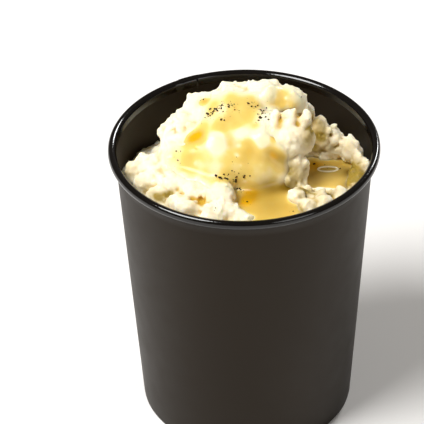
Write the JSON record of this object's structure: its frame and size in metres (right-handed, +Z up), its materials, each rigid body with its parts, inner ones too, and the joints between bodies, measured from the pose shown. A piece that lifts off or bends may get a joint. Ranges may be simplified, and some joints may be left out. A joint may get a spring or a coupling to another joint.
{
  "type": "mashed potato side in a paper cup",
  "caption": "Tall tapered black paper cup with a rolled rim, filled to above the rim with a craggy heap of mash under poured gravy and black pepper.",
  "frame": {"origin": "centre of the circle that the cup stands on, in the plane of the table", "axes": "+Z up along the cup's axis; -Y towards the side with the gravy's front pool; +X to the right seen from there"},
  "size_m": [0.117, 0.117, 0.1612],
  "materials": {
    "black_paper": "satin coated paperboard",
    "mash": "moist, rough, slightly translucent",
    "gravy": "wet gloss, translucent",
    "pepper": "matt cracked grains"
  },
  "bodies": {
    "root": {"cup_wall": "black_paper", "cup_base": "black_paper", "mashed_potato": "mash", "gravy": "gravy", "gravy_pool": "gravy"}
  },
  "joints": []
}
